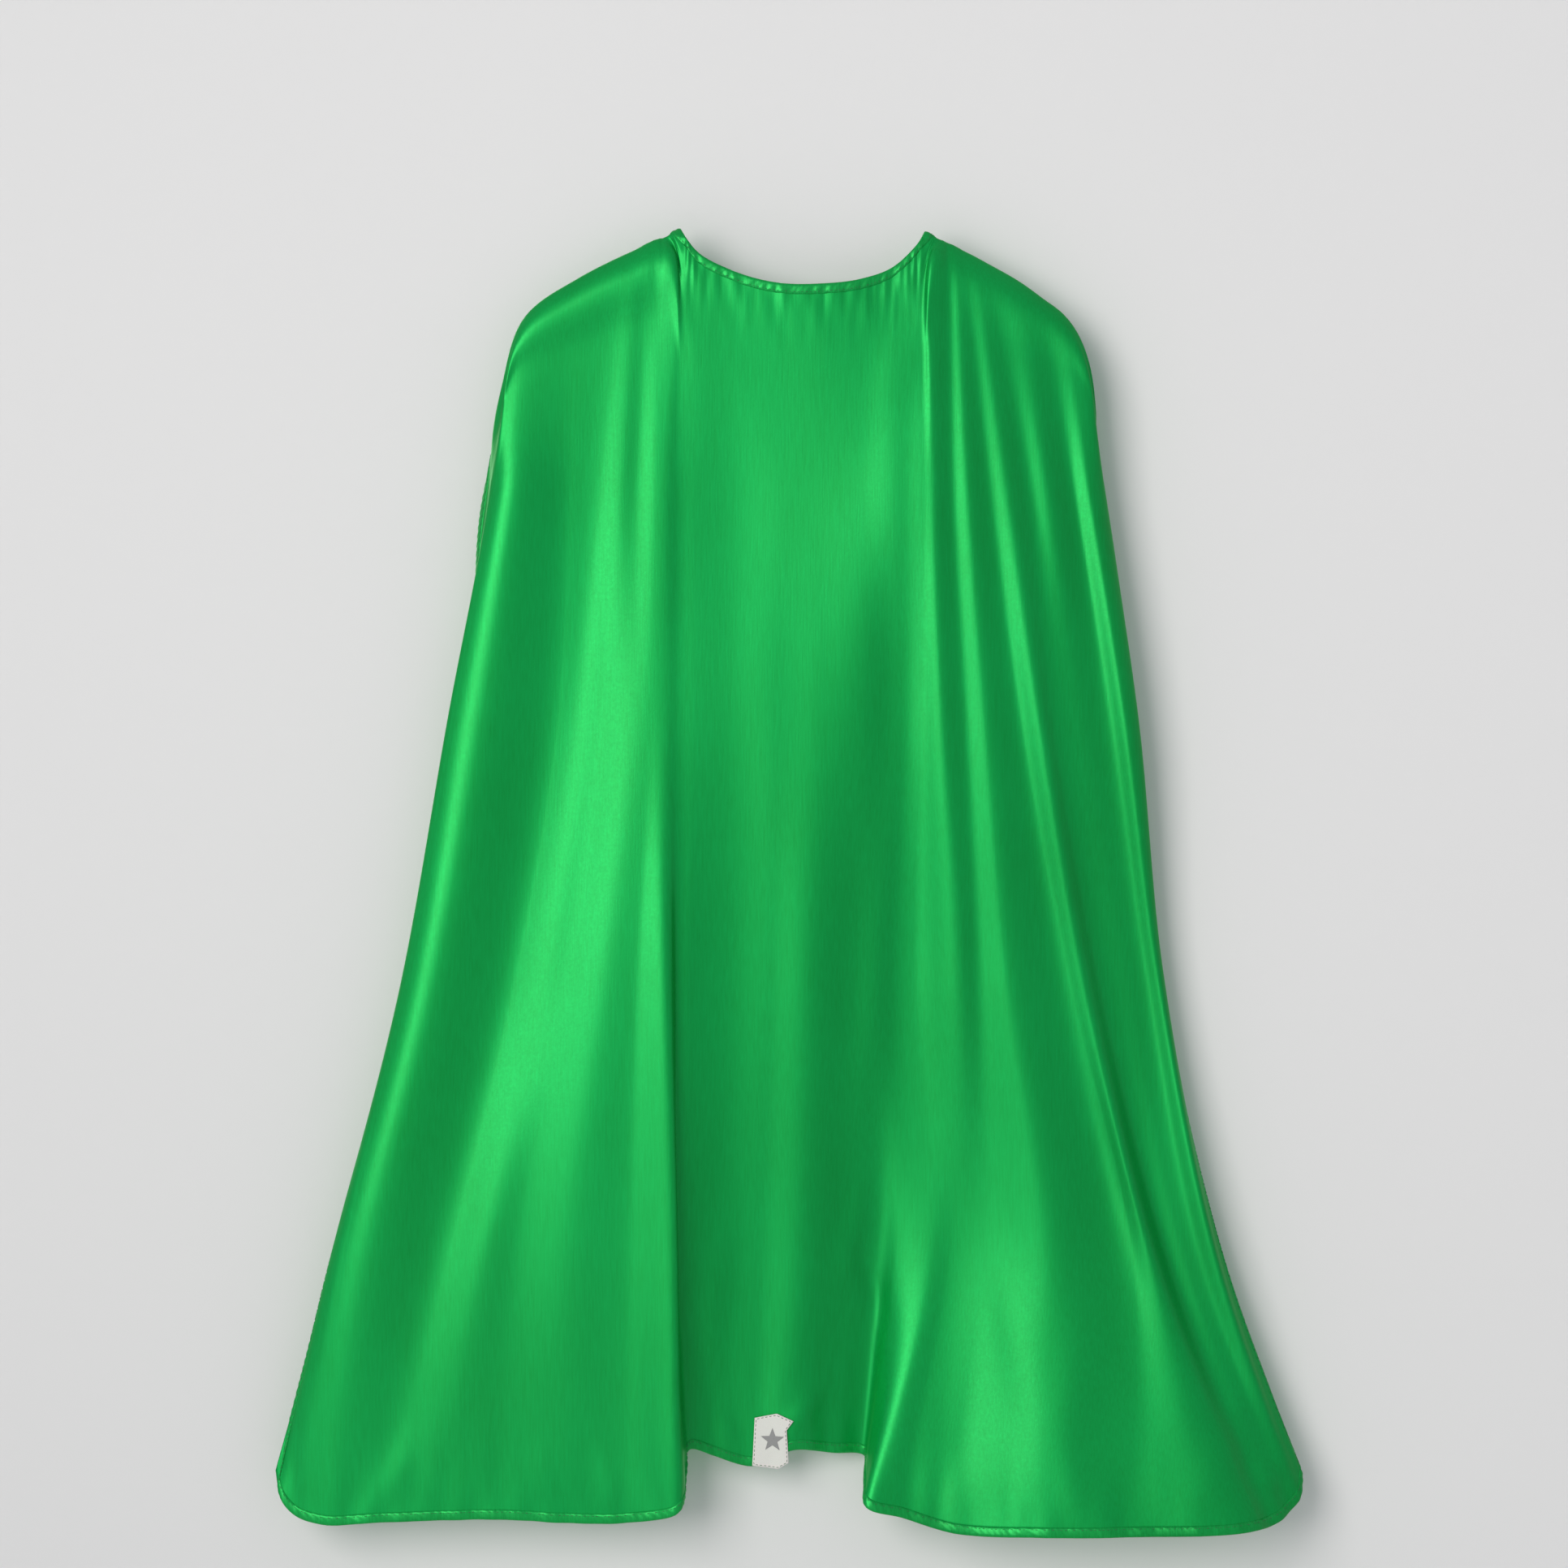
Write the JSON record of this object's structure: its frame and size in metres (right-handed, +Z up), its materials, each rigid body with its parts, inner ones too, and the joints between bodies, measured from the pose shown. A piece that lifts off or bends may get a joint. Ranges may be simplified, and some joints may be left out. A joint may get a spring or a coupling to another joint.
{
  "type": "superhero cape",
  "caption": "Long satin costume cape with a round bound neckline, throat tabs with a hook-and-loop fastener, bound sides and hem, and a small woven hem label.",
  "frame": {"origin": "middle of the shoulder line that the cape hangs from, level with the two neck points, halfway between them and in the middle of the support's thickness", "axes": "+Z up, +X to the wearer's right, -Y to the wearer's back, which is the cape's outside"},
  "size_m": [0.8507, 0.0732, 1.0763],
  "materials": {
    "satin": "shiny green polyester satin with a fine vertical grain",
    "binding": "bias tape of the same satin, puckered along its stitches",
    "label": "off-white woven label with a plain grey mark",
    "fastener": "matte green hook-and-loop tape"
  },
  "bodies": {
    "cape": {"cape_panel": "satin", "neck_binding": "binding", "edge_binding": "binding", "hem_label": "label"},
    "loop_tab": {"loop_tab": "satin", "loop_tab_binding": "binding", "loop_strip": "fastener"},
    "hook_tab": {"hook_tab": "satin", "hook_tab_binding": "binding", "hook_strip": "fastener"}
  },
  "joints": [
    {"name": "hook_tab_peel", "type": "hinge", "parent": "cape", "child": "hook_tab", "pos_m": [0.066, 0.0166, -0.0855], "axis": [0, 0, -1], "range_deg": [0, 110]},
    {"name": "loop_tab_bend", "type": "hinge", "parent": "cape", "child": "loop_tab", "pos_m": [-0.056, 0.012, -0.0855], "axis": [0, 0, -1], "range_deg": [0, 8]}
  ]
}
